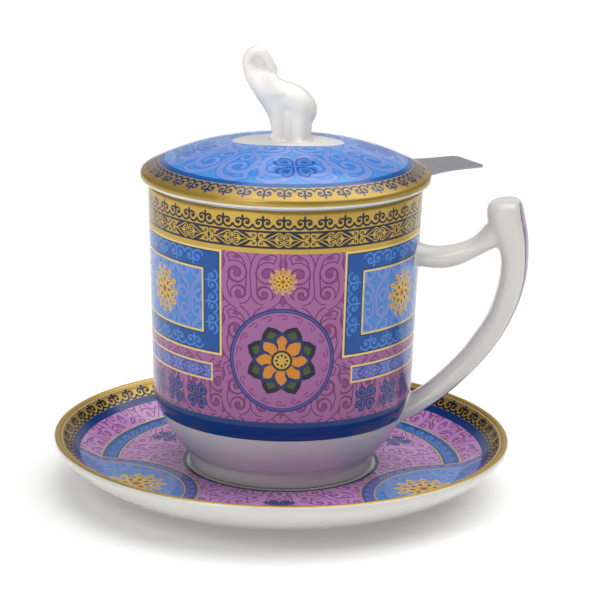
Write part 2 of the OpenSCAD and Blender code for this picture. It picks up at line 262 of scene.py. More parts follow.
def soft_corners(profile, r, steps=4):
    """Rounds the sharp corners of a profile, where there is room."""
    line = np.array(profile, float)
    out = [line[0]]
    for before, p, after in zip(line, line[1:], line[2:]):
        a, b = before - p, after - p
        la, lb = np.linalg.norm(a), np.linalg.norm(b)
        turn = 180 - math.degrees(math.acos(np.clip(a @ b / la / lb, -1, 1)))
        d = min(r, la * 0.45, lb * 0.45)
        plain = turn < SHARP_TURN or d < LEAST_ROUND
        out += [p] if plain else bend(p + a / la * d, p, p + b / lb * d, steps)
    return out + [line[-1]]


# ---------- saucer ----------

SAUCER_R, SAUCER_H, SAUCER_FOOT_R, SAUCER_WALL, SAUCER_LIP = 72.35, 17.1, 42, 2.8, 1.1
SAUCER_BASE_Z = 3.2  # the underside within the foot ring
flank = quarter(SAUCER_R, SAUCER_FOOT_R, 0.4, SAUCER_H - SAUCER_LIP, 1.38)
flank_inner = beside(flank, -SAUCER_WALL)
flank_inner = flank_inner[np.argmax(flank_inner[:, 0]):]
flank_inner = flank_inner[(flank_inner[:, 1] > WELL_Z + 0.3)
                          & (flank_inner[:, 0] < SAUCER_R - 2.25)]
lip = round_edge((SAUCER_R - SAUCER_LIP, SAUCER_H - SAUCER_LIP), SAUCER_LIP, 0, 160, 14)
# The well runs into the flank on a long soft curve.
well_edge = flank_inner[-1]
well_bend = bend(well_edge, (well_edge[0] - 3, WELL_Z), (well_edge[0] - 9, WELL_Z), 11)[1:]
saucer_top = np.vstack([flank_inner, well_bend, [(0, WELL_Z)]])
saucer_foot = [(SAUCER_FOOT_R + dr, z)
               for dr, z in ((-12, SAUCER_BASE_Z), (-4.2, SAUCER_BASE_Z), (-3.2, 2.2), (-2.8, 0.4),
                             (-2.4, 0), (-0.5, 0), (0.3, 0.45))]
saucer_profile = np.vstack([[(0, SAUCER_BASE_Z)], soft_corners(saucer_foot + [flank[-6]], 0.5),
                            flank[-7:0:-1], lip, saucer_top])
put(lathe("saucer_porcelain", saucer_profile), "saucer", "saucer_porcelain", "saucer")

# ---------- mug ----------

MUG_R, WAIST_R, MUG_H, WAIST_Z, MUG_WALL, MUG_FOOT_R, MUG_FOOT_H = (
    42.65, 40.71, 91.3, 23.4, 2.8, 29.3, 5.4)
belly = quarter(WAIST_R, 28.36, 3.5, WAIST_Z, 1.58)
belly = belly[belly[:, 1] > MUG_FOOT_H]
mug_inner = beside(belly, -MUG_WALL)
floor_z = mug_inner[-1][1]
rim = round_edge((MUG_R - MUG_WALL / 2, MUG_H - MUG_WALL / 2), MUG_WALL / 2, 0, 180, 20)
mug_foot = [(MUG_FOOT_R + dr, z)
            for dr, z in ((-4, 3), (-3, 2), (-3, 0.6), (-2.4, 0), (-0.6, 0), (0, 0.6),
                          (0, MUG_FOOT_H - 0.9), (0.5, MUG_FOOT_H - 0.2))]
mug_profile = np.vstack([[(0, 3)], soft_corners([(20, 3)] + mug_foot + [belly[-3]], 0.5),
                         belly[-4::-1], rim, mug_inner, [(24, floor_z - 0.05), (0, floor_z - 0.1)]])
put(lathe("mug_porcelain", mug_profile + (0, MUG_Z)), "mug", "mug_porcelain", "mug_body")
mug_line = np.vstack([[p for p in rim if p[0] > MUG_R - 1.3][::-1], belly])
mug_line = mug_line[np.argsort(mug_line[:, 1])]


def mug_radius(z):
    """The radius of the mug's outside, z over its foot."""
    return np.interp(z, mug_line[:, 1], mug_line[:, 0])


# ---------- lid ----------

LID_R, LID_EDGE_H, DOME_RISE, DOME_POWER, LID_WALL = 45.1, 2.6, 9.8, 2.63, 3.2
RING_R, RING_W, RING_H, RING_BEVEL = 35.6, 2.6, 5, 0.6
SHOULDER_R = 44.2


def dome_z(r):
    return LID_EDGE_H + DOME_RISE * (1 - min(r / LID_R, 1) ** DOME_POWER)


dome = [(r, dome_z(r)) for r in [LID_R * math.sin(math.pi / 2 * i / 60) for i in range(53)]]
# The lid's edge is upright with a soft shoulder, as far out as the solid's.
shoulder = bend((SHOULDER_R, dome_z(SHOULDER_R)), (LID_R, dome_z(LID_R)), (LID_R, 1.5), 8)
edge = [(LID_R - 0.02, 1.1), (LID_R - 0.05, 0.75), (LID_R - 0.25, 0.25), (LID_R - 0.8, 0)]
under = [(r, dome_z(r) - LID_WALL) for r in np.linspace(LID_R - 4.9, 0, 40)]
lid_profile = np.vstack([dome, shoulder, edge, [(LID_R - 3.7, 0)], under])[::-1]
put(lathe("lid_porcelain", lid_profile + (0, LID_Z)), "lid", "lid_porcelain", "lid_shell")
ring_in = RING_R - RING_W
ring_line = soft_corners([(ring_in, dome_z(ring_in) - LID_WALL), (ring_in, RING_BEVEL - RING_H),
                          (ring_in + RING_BEVEL, -RING_H), (RING_R - RING_BEVEL, -RING_H),
                          (RING_R, RING_BEVEL - RING_H), (RING_R, dome_z(RING_R) - LID_WALL)], 0.6)
put(lathe("lid_centring_ring", np.array(ring_line) + (0, LID_Z)), "lid", "lid_porcelain",
    "lid_ring")


# ---------- ornament, drawn flat in millimetres ----------
# A drawing is a list of (outline, ink). What comes later lies on top.

def disc(x, y, r, ink, points=12):
    return [(circle(r, points, x, y), ink)]


def discs(points, *layers):
    """Discs round (0, 0), one on the other. A layer is (radius, ink)."""
    return [shape for r, ink in layers for shape in disc(0, 0, r, ink, points)]


def on_spline(rows, i, u):
    """The point at share u of span i, on a smooth line through the rows."""
    p0, p1, p2, p3 = rows[max(i - 1, 0)], rows[i], rows[i + 1], rows[min(i + 2, len(rows) - 1)]
    return 0.5 * (2 * p1 + (p2 - p0) * u + (2 * p0 - 5 * p1 + 4 * p2 - p3) * u * u
                  + (3 * p1 - p0 - 3 * p2 + p3) * u ** 3)


def through(rows, per_span=5):
    """A smooth line through the rows."""
    rows = np.asarray(rows, float)
    return np.array([on_spline(rows, i, u) for i in range(len(rows) - 1)
                     for u in np.arange(per_span) / per_span] + [rows[-1]])


MOST_TURN = 120  # degrees that one outline of a stroke may turn by


def stroke(line, width, ink):
    """A line drawn with a pen of that width, or of a width for each point, in outlines that turn
    by less than half a circle each, so that none crosses itself."""
    line = np.asarray(line, float)
    along = directions(line)
    half = np.broadcast_to(np.asarray(width, float) / 2, (len(line),))[:, None]
    side = np.stack([-along[:, 1], along[:, 0]], 1) * half
    left, right = line + side, line - side
    out, first, turned = [], 0, 0.0
    for i in range(1, len(line)):
        for edge in (left, right):
            if (edge[i] - edge[i - 1]) @ (line[i] - line[i - 1]) <= 0:
                edge[i] = edge[i - 1]
        turned += math.degrees(math.acos(min(max(along[i - 1] @ along[i], -1), 1)))
        if turned > MOST_TURN or i == len(line) - 1:
            out.append((np.vstack([right[first:i + 1], left[first:i + 1][::-1]]), ink))
            first, turned = i, 0.0
    return out


def moved(drawing, x=0, y=0, turn=0, size=1, flip=False):
    """A drawing mirrored in x if asked, scaled, turned and then moved."""
    c, s = math.cos(math.radians(turn)), math.sin(math.radians(turn))
    scale = np.array([-1, 1] if flip else [1, 1]) * size
    out = []
    for outline, ink in drawing:
        p = np.array(outline, float) * scale
        out.append((p @ np.array([[c, s], [-s, c]]) + (x, y), ink))
    return out


def both_ways(drawing):
    return drawing + moved(drawing, flip=True)


def four_ways(drawing):
    pair = both_ways(drawing)
    return pair + moved(pair, turn=180)


def around(count, drawing, turn=0):
    """The drawing count times round (0, 0), the first one turned by turn degrees."""
    return [shape for k in range(count) for shape in moved(drawing, turn=360 * k / count + turn)]


def signed_area(p):
    x, y = p.T
    return (x * np.roll(y, -1) - np.roll(x, -1) * y).sum() / 2


def covers(outline, spots):
    """Which of the spots lie inside an outline."""
    x, y = spots.T
    inside = np.zeros(len(spots), bool)
    for (ax, ay), (bx, by) in zip(outline, np.roll(outline, -1, 0)):
        if ay != by:
            inside ^= ((ay > y) != (by > y)) & (x < (bx - ax) * (y - ay) / (by - ay) + ax)
    return inside


def showing(drawing, cover):
    """Leaves out of a drawing what a shape laid over it hides altogether."""
    cover = np.asarray(cover, float)
    return [(outline, ink) for outline, ink in drawing
            if not covers(cover, np.asarray(outline, float)).all()]


LEAST_AREA = 0.003  # of an outline that is worth cutting in
OVERCLAIM = 1.002  # how many times its own area an outline may claim


def inlaid(ground, ink, drawing, cuts):
    """Cuts a drawing into the ground's outline. Returns points, triangles and their inks. Where
    the ink is None the glaze stays bare."""
    outlines, names = [], []
    for outline, name in [(ground, ink)] + drawing:
        p = np.asarray(outline, float)
        if abs(signed_area(p)) > LEAST_AREA:
            outlines.append(p if signed_area(p) > 0 else p[::-1])
            names.append(name)
    points, faces = [], []
    for p in outlines:
        faces.append(list(range(len(points), len(points) + len(p))))
        points.extend(Vector(q) for q in p)
    edges = [(len(points) + 2 * i, len(points) + 2 * i + 1) for i in range(len(cuts))]
    points.extend(Vector(q) for cut in cuts for q in cut)
    flat, _, triangles, _, _, owners = geometry.delaunay_2d_cdt(points, edges, faces, 1, 1e-4, True)
    flat, triangles = np.array([tuple(p) for p in flat]), np.array(triangles)
    corner = flat[triangles]
    u, v = corner[:, 1] - corner[:, 0], corner[:, 2] - corner[:, 0]
    area = (u[:, 0] * v[:, 1] - u[:, 1] * v[:, 0]) / 2
    triangles[area < 0] = triangles[area < 0][:, ::-1]
    area = np.abs(area)
    spot = np.repeat(np.arange(len(owners)), [len(o) for o in owners])
    owner = np.concatenate([np.asarray(o, int) for o in owners])
    # An outline that crosses itself claims too much, so its triangles are tested one by one.
    claimed = np.bincount(owner, area[spot], len(outlines))
    true = np.ones(len(spot), bool)
    for k, p in enumerate(outlines):
        if claimed[k] > OVERCLAIM * signed_area(p) + 0.002:
            mine = owner == k
            true[mine] = covers(p, corner[spot[mine]].mean(1))
    spot, owner = spot[true], owner[true]
    paint = np.full(len(triangles), -1)
    np.maximum.at(paint, spot, owner)
    kept = np.zeros(len(triangles), bool)
    kept[spot[owner == 0]] = True
    kept &= (area > 1e-6) & np.array([names[k] is not None for k in paint])
    return flat, triangles[kept], [names[k] for k in paint[kept]]


FILM = 0.05  # how far a print stands off the glaze, in millimetres


def printed(name, patches, surface, body, slot):
    """Lays patches on a surface as one thin film. A patch is (points, triangles, inks) and the
    places it repeats at. The surface turns flat points and a place to points and normals."""
    laid, all_inks, count = [], [], 0
    for (flat, triangles, names), turns in patches:
        used, faces = np.unique(triangles, return_inverse=True)
        for turn in turns:
            laid.append((*surface(flat[used], turn), faces.reshape(-1, 3) + count))
            count += len(used)
            all_inks.extend(names)
    points, normals, faces = (np.vstack(rows) for rows in zip(*laid))
    order = sorted(set(all_inks))
    put(mesh_object(name, points + normals * FILM, faces, [inks[i] for i in order],
                    [order.index(i) for i in all_inks], normals), body, slot)


def between(a, b, step):
    """The places that part a span in equal steps of about that size."""
    return np.linspace(a, b, max(int(round((b - a) / step)), 1) + 1)[1:-1]


def grid(x0, x1, y0, y1, dx, dy):
    """Cut lines over a rectangle, so that flat triangles follow a curved surface."""
    return ([((x, y0 - 1), (x, y1 + 1)) for x in between(x0, x1, dx)]
            + [((x0 - 1, y), (x1 + 1, y)) for y in between(y0, y1, dy)])


def box(x0, x1, y0, y1, ink=None):
    outline = [(x0, y0), (x1, y0), (x1, y1), (x0, y1)]
    return outline if ink is None else [(outline, ink)]


def nested(x0, x1, y0, y1, *layers):
    """Boxes one on the other. A layer is (how far within the first it lies, ink)."""
    return [shape for d, ink in layers for shape in box(x0 + d, x1 - d, y0 + d, y1 - d, ink)]


# ----- motifs -----

SCROLL_W, SCROLL_H = 6.14, 4.5  # a unit of the running scroll as it is drawn
SKY_DAMASK = ("sky_deep", "lavender", "sky_deep")


def scroll_unit(pitch, ink, pen=1.0):
    """One unit of a running scroll, standing on y = 0: two volutes on a stem with a spike."""
    half = pitch / 2
    volute = spiral(1.27, 2.2, 1.12, 0.42, 150, -300, 11)
    side = stroke([(0.0, 2.6)] + volute, [0.5 * pen] + [0.46 * pen] * 11 + [0.3], ink)
    side += disc(1.22, 2.15, 0.4, ink, 8)
    side += stroke([(0, 1.55)] + round_edge((half / 2, 1.85), half / 2 * 1.02, 205, 335, 6)
                   + [(half, 1.6)], 0.5 * pen, ink)
    stem = stroke([(0, 0.75), (0, 2.4), (0, 3.35), (0, 3.62), (0, 4.55)],
                  [0.62 * pen, 0.5 * pen, 0.5 * pen, 0.62 * pen, 0.04], ink)
    return both_ways(side) + stem


def leaf_curl(root, x, y, start, ink):
    """The curl of a leaf round (x, y), from its root."""
    return stroke([root] + spiral(x, y, 0.62, 0.2, start, 330, 9), 0.3, ink) + disc(x, y, 0.2, ink, 7)


def lattice_unit(period, gold="gold", ink="ink"):
    """One period of the pointed lattice: gold lines round two curled leaves, and four curled
    leaves where the lines meet."""
    line = through([(5.3, 0), (3.5, 0.98), (2.1, 1.8), (1.4, 2.05), (0.72, 1.86), (0.3, 1.4),
                    (0.16, 0.8), (0.12, 0.1)], 3)
    leaf = [(3.2, 0), (2.4, 0.5), (2.2, 0.95), (1.85, 1.35), (1.3, 1.55), (0.8, 1.35),
            (0.56, 0.95), (0.5, 0.4), (0.42, 0)]
    lobe = [(0.16, 1.95), (0.9, 2.12), (2.1, 1.98), (3.9, 2.02), (2.75, 1.42), (2.3, 0.8),
            (1.5, 0.42), (0.8, 0.34), (0.2, 0.7), (0.1, 1.3)]
    bud = disc(0, 0, 0.34, ink, 4)
    part = (stroke(line, 0.34, gold) + [(leaf, gold)] + leaf_curl((0.5, 0.06), 1.2, 0.8, 215, ink)
            + stroke([(3.1, 0), (4.3, 0)], [0.3, 0.1], gold))
    cross = ([(lobe, gold)] + stroke([(2.6, 0.05), (1.3, 0.16), (0.4, 0.3)], 0.34, gold)
             + leaf_curl((1.7, 0.5), 1.05, 1.15, 320, ink))
    cross = four_ways(cross) + bud
    return four_ways(part) + bud + moved(cross, period / 2) + moved(cross, -period / 2)


def damask_cell(width, height, dark, light, patch, pen):
    """One cell of curling vines, mirrored about its middle. It repeats both ways."""
    w, h = width / 2, height / 2

    def at(*spots):
        return [(x * w, y * h) for x, y in spots]

    big = [*through(at((0.6, -1.04), (0.2, -0.74), (0.08, -0.3)), 4),
           *spiral(w * 0.5, h * 0.14, w * 0.39, w * 0.13, 200, -420, 18)]
    low = [*through(at((0.3, 1.0), (0.78, 0.74), (0.95, 0.2)), 4),
           *spiral(w * 0.6, -h * 0.56, w * 0.33, w * 0.11, 20, -400, 16)]
    sprig = through(at((0.0, -0.05), (0.2, 0.45), (0.14, 0.8), (0.5, 0.98)), 3)
    # The ground is darker in the eyes of the volutes and in the drops between the vines.
    side = disc(w * 0.5, h * 0.14, w * 0.34, patch, 16) + disc(w * 0.6, -h * 0.56, w * 0.29, patch, 14)
    for drop in (((0.04, 0.1), (0.15, 0.24), (0.1, 0.52), (0, 0.74)),
                 ((0, -0.98), (0.16, -0.8), (0.05, -0.5), (0, -0.3)),
                 ((0.55, 0.62), (0.72, 0.72), (0.8, 0.98), (0.5, 0.86), (0.36, 0.68))):
        side.append((at(*drop), patch))
    # Each vine is light, with a dark line along both its edges.
    overs = []
    for line, size in ((big, 1.0), (low, 0.9), (sprig, 0.8)):
        taper = np.linspace(1.15, 0.6, len(line)) * pen * size
        side += stroke(line, taper + 0.44 * pen, dark)
        overs += stroke(line, taper, light)
    return both_ways(side) + both_ways(overs)


def damask(x0, x1, y0, y1, width, height, inks3, pen, shift=0.0):
    """Damask over a rectangle, from cells that repeat."""
    cell = damask_cell(width, height, *inks3, pen)
    out = []
    for i in range(math.floor(x0 / width) - 1, math.ceil(x1 / width) + 2):
        for j in range(math.floor(y0 / height) - 1, math.ceil(y1 / height) + 2):
            x, y = (i + shift) * width, j * height
            if x0 - width / 2 < x < x1 + width / 2 and y0 - height / 2 < y < y1 + height / 2:
                out += moved(cell, x, y)
    return out


def rosette(r, ground="leaf"):
    """A rosette in yellow gold: eight petals, and twelve florets on stems with a smaller one
    between."""
    florets = stroke([(0, 0.3), (0, 0.74)], 0.1, "yellow")
    for near, far, half, ink, turn in ((0.66, 1.0, 0.13, "yellow", 0), (0.72, 0.9, 0.06, "amber", 0),
                                       (0.52, 0.8, 0.1, "yellow", 15), (0.56, 0.7, 0.05, ground, 15)):
        low, high = mix(near, far, 0.55), mix(near, far, 0.85)
        floret = [(0, near), (-half, low), (-half * 0.6, high), (0, far), (half * 0.6, high),
                  (half, low)]
        florets += moved([(floret, ink)], turn=turn)
    petal = [(-0.05, 0.16), (-0.19, 0.4), (0, 0.62), (0.19, 0.4), (0.05, 0.16)]
    eye = [(0, 0.24), (-0.08, 0.38), (0, 0.5), (0.08, 0.38)]
    out = around(12, florets) + around(8, [(petal, "yellow"), (eye, ground)])
    return moved(out + disc(0, 0, 0.2, "amber", 10) + disc(0, 0, 0.1, ground, 8), size=r)


# One heart-shaped petal, with its point at the middle of the flower.
HALF_HEART = [(0.02, 0.05), (0.3, 0.34), (0.44, 0.62), (0.36, 0.88), (0.18, 0.96), (0, 0.84)]
HEART = HALF_HEART + [(-x, y) for x, y in HALF_HEART[-2::-1]]


def four_hearts(r, shade, inner):
    """A flower of four heart-shaped petals, each with a lighter heart in it."""
    petal = [(HEART, shade), *moved([(HEART, inner)], 0, 0.16, size=0.72),
             *moved([(HEART, shade)], 0, 0.34, size=0.4)]
    return moved(around(4, petal, 45) + disc(0, 0, 0.12, inner, 4), size=r)


def lotus(r):
    """The round medallion: a navy ring, a wreath of small scrolls, and a lotus seen from above."""
    out = discs(64, (r, "navy"), (r - 0.45, "iris"), (r - 0.95, "navy"), (r - 1.25, "violet"))
    out += around(18, stroke([(-1.5, r - 2.2)] + spiral(0.6, r - 2.9, 1.0, 0.35, 130, -330, 12), 0.42,
                             "mauve"))
    for tip, width, shade, inner, turn in ((0.7, 0.24, "ink", "leaf", 22.5),
                                           (0.56, 0.2, "navy", "amber", 0)):
        side = [(width * 0.55, tip * 0.88), (width, tip * 0.65), (width * 0.8, tip * 0.45)]
        petal = [(0, 0.1)] + [(-x, y) for x, y in side[::-1]] + [(0, tip)] + side
        small = [(x * 0.62, 0.1 + (y - 0.1) * 0.84) for x, y in petal]
        out += moved(around(8, [(petal, shade), (small, inner)], turn), size=r)
    out += discs(20, (0.2 * r, "ink"), (0.16 * r, "gold"))
    return out + around(8, disc(0, 0.1 * r, 0.025 * r, "ink", 6))


def scroll_band(x0, x1, y, height, size, ink):
    """A running scroll of that size along y, in as many units as fit."""
    count = max(int(round((x1 - x0) / (SCROLL_W * size))), 1)
    step = (x1 - x0) / count
    unit = moved(scroll_unit(SCROLL_W, ink), x0, y + (height - SCROLL_H * size) / 2,
                 size=(step / SCROLL_W, size))
    return [shape for k in range(count) for shape in moved(unit, (k + 0.5) * step)]


def panel(width, height, band):
    """A framed panel: gold lines, a blue scroll band on all four sides and a sky-blue field with
    a gold rosette, round (0, 0)."""
    w, h = width / 2, height / 2
    out = nested(-w, w, -h, h, (0, "pale_gold"), (0.65, "ink"), (0.95, "frame_blue"))
    for turn, reach, length in ((0, h, w), (180, h, w), (90, w, h), (270, w, h)):
        length -= band + 0.6
        out += moved(scroll_band(-length, length, 0.95 - reach, band - 0.9, (band - 0.9) / 4.6,
                                 "frame_light"), turn=turn)
    out += nested(-w, w, -h, h, (band + 0.1, "ink"), (band + 0.4, "pale_gold"), (band + 1.0, "sky"))
    w, h = w - band - 1.0, h - band - 1.0
    out += clipped(damask(-w, w, -h, h, 13.4, 12.2, SKY_DAMASK, 1.4, 0.5), box(-w, w, -h, h))
    return out + rosette(7.6)


def clipped(drawing, frame_line):
    """Cuts a drawing's outlines to a convex outline that runs counter-clockwise."""
    out = []
    corners = np.array(frame_line, float)
    for outline, ink in drawing:
        p = list(np.array(outline, float))
        for a, b in zip(corners, np.roll(corners, -1, 0)):
            inward = np.array([a[1] - b[1], b[0] - a[0]])
            kept = []
            for q, after in zip(p, p[1:] + p[:1]):
                d, e = (q - a) @ inward, (after - a) @ inward
                if d >= 0:
                    kept.append(q)
                if d * e < 0:
                    kept.append(mix(q, after, d / (d - e)))
            p = kept
        if len(p) > 2:
            out.append((np.array(p), ink))
    return out


# ---------- prints on the mug ----------

PRINT_R = 42.0  # the radius at which the drawing's width is true
ROUND = 2 * math.pi * PRINT_R
PROBE = 0.15  # how far to each side of a point the surface's slope is taken


def places(count, first):
    """The turns, in degrees, that set count patches evenly round the axis."""
    return [first + 360 * k / count for k in range(count)]


def on_mug(points, place):
    """Wraps (round, height) on the mug's wall, turned by place degrees."""
    a = points[:, 0] / PRINT_R + math.radians(place)
    z = points[:, 1]
    r = mug_radius(z)
    slope = (mug_radius(z + PROBE) - mug_radius(z - PROBE)) / (2 * PROBE)
    return (np.stack([r * np.cos(a), r * np.sin(a), z + MUG_Z], 1),
            unit_rows(np.stack([np.cos(a), np.sin(a), -slope], 1)))


def mug_patch(half, heights, ground, drawing, dx, dy, more=()):
    """A patch of the mug's wall with a drawing in it, half its width each side of its middle."""
    area = (-half, half, *heights)
    return inlaid(box(*area), ground, drawing, [*grid(*area, dx, dy), *more])


# The mug's bands, from the rim down, as heights over its foot.
GOLD_BAND = (85.1, 91.0)
LATTICE = (79.6, 85.1)
GOLD_LINE = (78.1, 79.6)
FIELD = (25.3, 78.1)
COBALT_BAND = (18.9, 25.3)

SCROLLS, PERIODS, PLAIN = 43, 17, 36  # how many patches go round the mug in a band
pitch, period = ROUND / SCROLLS, ROUND / PERIODS
gold_band = mug_patch(pitch / 2, GOLD_BAND, "gold",
                      moved(scroll_unit(pitch, "ink", 1.35), 0, GOLD_BAND[0] + 0.3), 2.1, 3,
                      [((-9, z), (9, z)) for z in (89.9, 90.3, 90.7)])
lattice_band = mug_patch(period / 2, LATTICE, "night",
                         moved(lattice_unit(period), 0, sum(LATTICE) / 2), 2.6, 6)
gold_line = mug_patch(ROUND / PLAIN / 2, GOLD_LINE, "gold", [], 2.5, 3)
cobalt = mug_patch(ROUND / PLAIN / 2, COBALT_BAND, "cobalt", [], 2.5, 0.8)

BAYS = 3  # of each kind, on mug and saucer
violet_half = math.radians(26) * PRINT_R
blue_half = ROUND / 6 - violet_half


def bay(half, shift, motifs, cover):
    """A bay of the violet field with its motifs, of which the largest has the outline cover."""
    drawing = damask(-half, half, *FIELD, violet_half, (FIELD[1] - FIELD[0]) / 3,
                     ("plum", "violet", "mauve"), 1.7, shift)
    return mug_patch(half, FIELD, "violet", showing(drawing, cover) + motifs, 2.6, 14)


LOTUS_R, LOTUS_Z = 16.3, 45.0
violet_bay = bay(violet_half, 0.0, moved(lotus(LOTUS_R), 0, LOTUS_Z)
                 + moved(rosette(4.3, "rust"), 0, 69.6), circle(LOTUS_R - 0.1, 48, 0, LOTUS_Z))

PANEL_H = 33.0
panel_y = FIELD[1] - PANEL_H / 2
stripe = (36.6, 42.2)
stripe_half = blue_half - 3.2
blue_motifs = moved(panel(2 * blue_half, PANEL_H, 6.0), 0, panel_y)
blue_motifs += nested(-stripe_half, stripe_half, *stripe, (0, "pale_gold"), (0.6, "iris"))
LEAVES, LEAF_SIZE = 3, 0.82
leaf_step = (2 * stripe_half - 1.4) / LEAVES
for k in range(LEAVES):
    x = -stripe_half + 0.7 + k * leaf_step
    unit = moved(lattice_unit(leaf_step / LEAF_SIZE, "lavender", "iris"), x + leaf_step / 2,
                 sum(stripe) / 2, size=LEAF_SIZE)
    blue_motifs += clipped(unit, box(x, x + leaf_step, stripe[0] + 0.6, stripe[1] - 0.6))
for x in (-15.5, -5.2, 5.2, 15.5):
    blue_motifs += moved(four_hearts(4.8, "navy", "iris"), x, 31.0)
blue_bay = bay(blue_half, 0.5, blue_motifs, box(-blue_half, blue_half, panel_y - PANEL_H / 2, 99))

printed("mug_band_print", [
    (gold_band, places(SCROLLS, MOTIF_TURN)), (lattice_band, places(PERIODS, MOTIF_TURN)),
    (gold_line, places(PLAIN, MOTIF_TURN)), (cobalt, places(PLAIN, MOTIF_TURN)),
], on_mug, "mug", "mug_porcelain")
printed("mug_bay_print", [
    (violet_bay, places(BAYS, MOTIF_TURN)), (blue_bay, places(BAYS, MOTIF_TURN + 60)),
], on_mug, "mug", "mug_porcelain")


# ---------- prints on lid and saucer, drawn in plan ----------

def reach_along(profile):
    """How far each point of a profile counts from the axis: its radius, and the way along the
    profile where that is steeper than 4 to 1."""
    line = np.array(profile, float)
    step = np.diff(line, axis=0)
    steep = np.abs(step[:, 1]) > 4 * step[:, 0]
    return line[0, 0] + np.concatenate([[0], np.cumsum(np.where(steep, np.hypot(*step.T), step[:, 0]))])


def on_turned(profile, base):
    """Lays plan points on a turned surface whose profile runs outwards."""
    line, reach = np.array(profile, float), reach_along(profile)

    def surface(points, place):
        x, y = moved([(points, None)], turn=place)[0][0].T
        s = np.maximum(np.hypot(x, y), 1e-6)
        (r, z), (r0, z0), (r1, z1) = [[np.interp(t, reach, line[:, k]) for k in (0, 1)]
                                      for t in (s, s - PROBE, s + PROBE)]
        return (np.stack([x * r / s, y * r / s, z + base], 1),
                unit_rows(np.stack([(z0 - z1) * x / s, (z0 - z1) * y / s, r1 - r0], 1)))

    return surface


def in_plan(r, turn):
    """The plan point r out from the axis, turn degrees from +Y."""
    return r * math.sin(math.radians(turn)), r * math.cos(math.radians(turn))


def sector(r0, r1, half, points=9):
    """The outline of a ring's sector, half degrees each side of +Y."""
    turns = np.linspace(-half, half, points)
    return [in_plan(r1, a) for a in turns[::-1]] + [in_plan(r0, a) for a in turns]


def bent(drawing, r):
    """Bends a drawing made along y = 0 round the axis, so that its y = 0 lies at radius r and it
    still stands outwards."""
    out = []
    for outline, ink in drawing:
        x, y = np.array(outline, float).T
        out.append((np.stack([(r + y) * np.sin(x / r), (r + y) * np.cos(x / r)], 1), ink))
    return out


def ring_cuts(radii, half, da):
    """Arcs and rays over a sector, so that flat triangles follow the surface."""
    cuts = []
    for r in radii[1:-1]:
        arc = [in_plan(r, a) for a in np.arange(-half - da, half + da * 1.01, da)]
        cuts += zip(arc, arc[1:])
    return cuts + [(in_plan(radii[0] - 1, a), in_plan(radii[-1] + 1, a))
                   for a in between(-half, half, da)]


TURN = MOTIF_TURN - 90  # plan drawings stand on +Y


def ringed(radii, count, ground, drawing, da=2.0):
    """One of count equal sectors of a ring with a drawing cut in it, and its places. The radii
    run from its inner to its outer edge."""
    half = 180 / count
    patch = inlaid(sector(radii[0], radii[-1], half), ground, drawing, ring_cuts(radii, half, da))
    return patch, places(count, TURN)


def scroll_ring(radii, count, size, true_r, foot, ground, ink, pen):
    """A ring of count scroll units, scaled by size, whose width is true at radius true_r. They
    stand foot mm out from its inner edge."""
    unit = scroll_unit(2 * math.pi * true_r / count / size[0], ink, pen)
    return ringed(radii, count, ground, bent(moved(unit, size=size), radii[0] + foot), 3.0)


LID_BAND = (39.4, 46.1)
LID_LINE = (37.7, 39.4)
LID_TURN = TURN + 6
FINIAL_TURN = 10

lid_field_drawing = []
for r, count, height, pen in ((12.5, 4, 15.5, 1.6), (28.6, 8, 17.4, 1.9)):  # two rings of volutes
    volutes = bent(damask_cell(2 * math.pi * r / count, height, *SKY_DAMASK, pen), r)
    lid_field_drawing += around(count, volutes, 180 / count)
lid_field_drawing += around(4, moved(four_hearts(7.4, "frame_blue", "sky_deep"), 0, 28.0))
# The white place round the finial.
lid_field_drawing += moved([([(17.5 * x + 0.5, 9.8 * y) for x, y in circle(1, 48)], None)],
                           turn=FINIAL_TURN - LID_TURN)
lid_cuts = [((4 * x, 4 * y), (40 * x, 40 * y)) for x, y in circle(1, 72)]
for r in np.arange(11, LID_LINE[0], 3.3):
    arc = circle(r, 72)
    lid_cuts += zip(arc, arc[1:] + arc[:1])
lid_field = inlaid(circle(LID_LINE[0], 120), "sky", lid_field_drawing, lid_cuts)

lid_outside = np.vstack([dome, shoulder, edge[:2]])
lid_reach = reach_along(lid_outside)
# Arcs lie close together where the lid bends down to its edge.
lid_bends = lid_reach[(lid_reach > 44.1) & (lid_reach < LID_BAND[1] - 0.1)]
printed("lid_print", [
    (lid_field, [LID_TURN]),
    # The lid's scroll band is in the gold painted darker there: painted shade.
    scroll_ring([*np.linspace(LID_BAND[0], 43.8, 7), *lid_bends, LID_BAND[1]], 44, (0.93, 1.05),
                LID_BAND[0] + 0.4, 0.3, "lid_gold", "navy", 1.25),
    ringed(np.linspace(*LID_LINE, 3), 60, "frame_blue", [], 3.0),
], on_turned(lid_outside, LID_Z), "lid", "lid_porcelain")

# The saucer: a gold scroll band at the rim, a cobalt line, and round blue bays with violet
# between them.
SAUCER_LIP_LINE, SAUCER_BAND = (70.0, 71.95), (66.4, 70.0)
SAUCER_LINE, FOOT_LINE = (64.2, 66.4), (30.2, 31.4)
BAY_R, BAY_AT = 30.4, 63.6  # a blue bay's radius, and how far out its middle is
saucer_surface = on_turned(
    np.vstack([[p for p in lip if p[0] < SAUCER_LIP_LINE[1] + 0.3], saucer_top])[::-1], 0)


def violet_half_bay():
    """What lies along the middle of a violet bay: a blue stripe round the saucer and a flower."""
    out = [(sector(51.4, 57.8, 34, 25), "pale_gold"), (sector(52.0, 57.2, 34, 25), "frame_blue")]
    out += bent(scroll_band(-27, 27, 0, 4.4, 0.85, "frame_light"), 52.4)
    return out + moved(four_hearts(5.4, "navy", "iris"), 0, 43.4)


